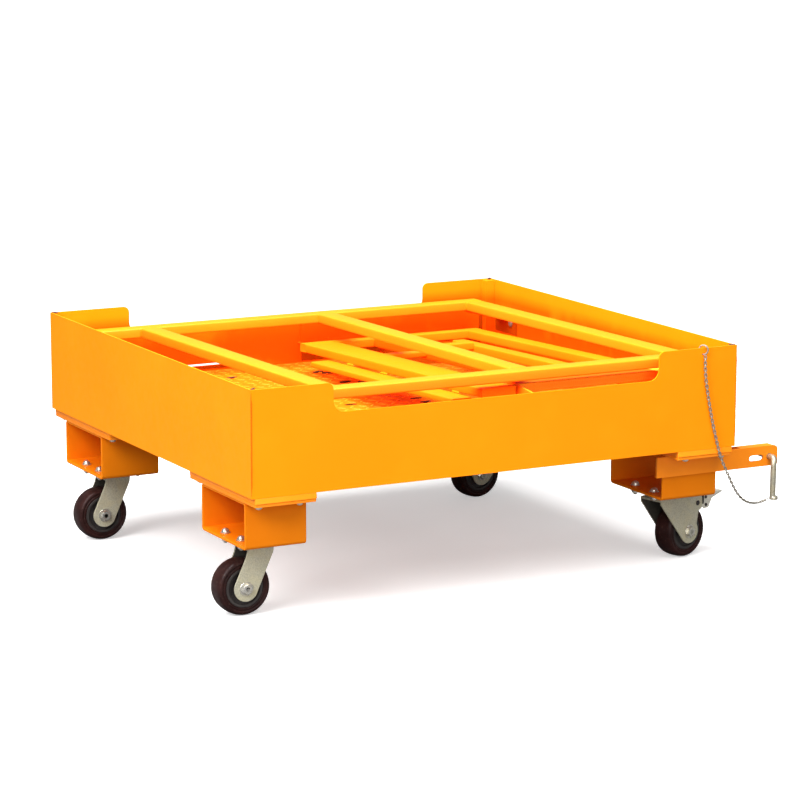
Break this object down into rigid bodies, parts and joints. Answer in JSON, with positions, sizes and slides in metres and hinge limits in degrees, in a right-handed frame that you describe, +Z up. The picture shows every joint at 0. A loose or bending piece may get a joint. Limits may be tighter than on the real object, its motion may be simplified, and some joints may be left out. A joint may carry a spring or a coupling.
{
  "type": "folding forklift work platform",
  "caption": "Forklift work platform folded flat: a shallow sheet-steel tray with hinged guard frames inside, fork pockets under its corners, swivel casters, a locking bar and a chained pin.",
  "frame": {"origin": "on the ground, under the middle of the bounding box of everything but the loose chain", "axes": "+X along the fork direction, towards the truck and the locking bar; +Y from the front wall, with the chain, to the back wall; +Z up"},
  "size_m": [1.1935, 0.9913, 0.4616],
  "materials": {
    "powder_coat": "semi-gloss powder coat",
    "zinc_plate": "dull zinc",
    "bright_steel": "bright zinc",
    "wheel_core": "dark paint",
    "tyre": "dark red-brown polyurethane"
  },
  "bodies": {
    "platform": {"wall_front": "powder_coat", "wall_back": "powder_coat", "wall_left": "powder_coat", "wall_right": "powder_coat", "base_front": "powder_coat", "base_back": "powder_coat", "base_mid": "powder_coat", "floor_plate": "powder_coat", "back_stiffener": "powder_coat", "corner_post": "powder_coat", "flange_fl": "powder_coat", "flange_fr": "powder_coat", "flange_bl": "powder_coat", "flange_br": "powder_coat", "pocket_fl": "powder_coat", "pocket_fr": "powder_coat", "pocket_bl": "powder_coat", "pocket_br": "powder_coat", "cover_lug_front": "powder_coat", "cover_lug_back": "powder_coat", "cover_rest_front": "powder_coat", "cover_rest_back": "powder_coat", "side_lug_left": "powder_coat", "side_lug_right": "powder_coat", "side_rest": "powder_coat", "lock_bar": "powder_coat", "caster_plate_fl": "zinc_plate", "caster_plate_fr": "zinc_plate", "caster_plate_bl": "zinc_plate", "caster_plate_br": "zinc_plate", "chain_ring": "bright_steel", "chain": "bright_steel"},
    "cover_guard": {"cover_post_front": "powder_coat", "cover_post_back": "powder_coat", "cover_low_rail": "powder_coat", "cover_mid_rail": "powder_coat", "cover_top_rail": "powder_coat"},
    "side_guard": {"side_bottom_rail": "powder_coat", "side_top_rail": "powder_coat", "side_post_left": "powder_coat", "side_post_right": "powder_coat", "side_post_mid": "powder_coat", "side_outer_bar": "powder_coat", "side_inner_bar": "powder_coat", "side_cross_strip": "powder_coat"},
    "lock_pin": {"lock_pin": "bright_steel"},
    "swivel_fl": {"fork_fl": "zinc_plate"},
    "wheel_fl": {"hub_fl": "wheel_core", "tyre_fl": "tyre"},
    "swivel_bl": {"fork_bl": "zinc_plate"},
    "wheel_bl": {"hub_bl": "wheel_core", "tyre_bl": "tyre"},
    "swivel_fr": {"fork_fr": "zinc_plate"},
    "wheel_fr": {"hub_fr": "wheel_core", "tyre_fr": "tyre"},
    "pedal_fr": {"brake_pedal_fr": "zinc_plate"},
    "swivel_br": {"fork_br": "zinc_plate"},
    "wheel_br": {"hub_br": "wheel_core", "tyre_br": "tyre"},
    "pedal_br": {"brake_pedal_br": "zinc_plate"}
  },
  "joints": [
    {"name": "cover_hinge", "type": "hinge", "parent": "platform", "child": "cover_guard", "pos_m": [-0.55625, -0.448, 0.425], "axis": [0, -0.9998, 0.0177], "range_deg": [0, 90]},
    {"name": "side_hinge", "type": "hinge", "parent": "platform", "child": "side_guard", "pos_m": [0.18875, -0.393, 0.392], "axis": [1, 0, 0], "range_deg": [0, 72]},
    {"name": "lock_pin_slide", "type": "slide", "parent": "platform", "child": "lock_pin", "axis": [0, -1, 0], "range_m": [0, 0.034]},
    {"name": "swivel_fl", "type": "hinge", "parent": "platform", "child": "swivel_fl", "pos_m": [-0.51375, -0.341, 0.133], "axis": [0, 0, 1], "continuous": true},
    {"name": "roll_fl", "type": "hinge", "parent": "swivel_fl", "child": "wheel_fl", "pos_m": [-0.54275, -0.341, 0.054], "axis": [0, 1, 0], "continuous": true},
    {"name": "swivel_bl", "type": "hinge", "parent": "platform", "child": "swivel_bl", "pos_m": [-0.51375, 0.348, 0.133], "axis": [0, 0, 1], "continuous": true},
    {"name": "roll_bl", "type": "hinge", "parent": "swivel_bl", "child": "wheel_bl", "pos_m": [-0.54275, 0.348, 0.054], "axis": [0, 1, 0], "continuous": true},
    {"name": "swivel_fr", "type": "hinge", "parent": "platform", "child": "swivel_fr", "pos_m": [0.39125, -0.341, 0.133], "axis": [0, 0, 1], "continuous": true},
    {"name": "roll_fr", "type": "hinge", "parent": "swivel_fr", "child": "wheel_fr", "pos_m": [0.44148, -0.32754, 0.054], "axis": [0.2588, -0.9659, 0], "continuous": true},
    {"name": "pedal_fr", "type": "hinge", "parent": "swivel_fr", "child": "pedal_fr", "pos_m": [0.46176, -0.32211, 0.111], "axis": [-0.2588, 0.9659, 0], "range_deg": [0, 8]},
    {"name": "swivel_br", "type": "hinge", "parent": "platform", "child": "swivel_br", "pos_m": [0.39125, 0.348, 0.133], "axis": [0, 0, 1], "continuous": true},
    {"name": "roll_br", "type": "hinge", "parent": "swivel_br", "child": "wheel_br", "pos_m": [0.33976, 0.34076, 0.054], "axis": [-0.1392, 0.9903, 0], "continuous": true},
    {"name": "pedal_br", "type": "hinge", "parent": "swivel_br", "child": "pedal_br", "pos_m": [0.31896, 0.33784, 0.111], "axis": [0.1392, -0.9903, 0], "range_deg": [0, 8]}
  ],
  "couplings": [
    {"joint": "side_hinge", "follows": "cover_hinge", "ratio": 0.8}
  ]
}
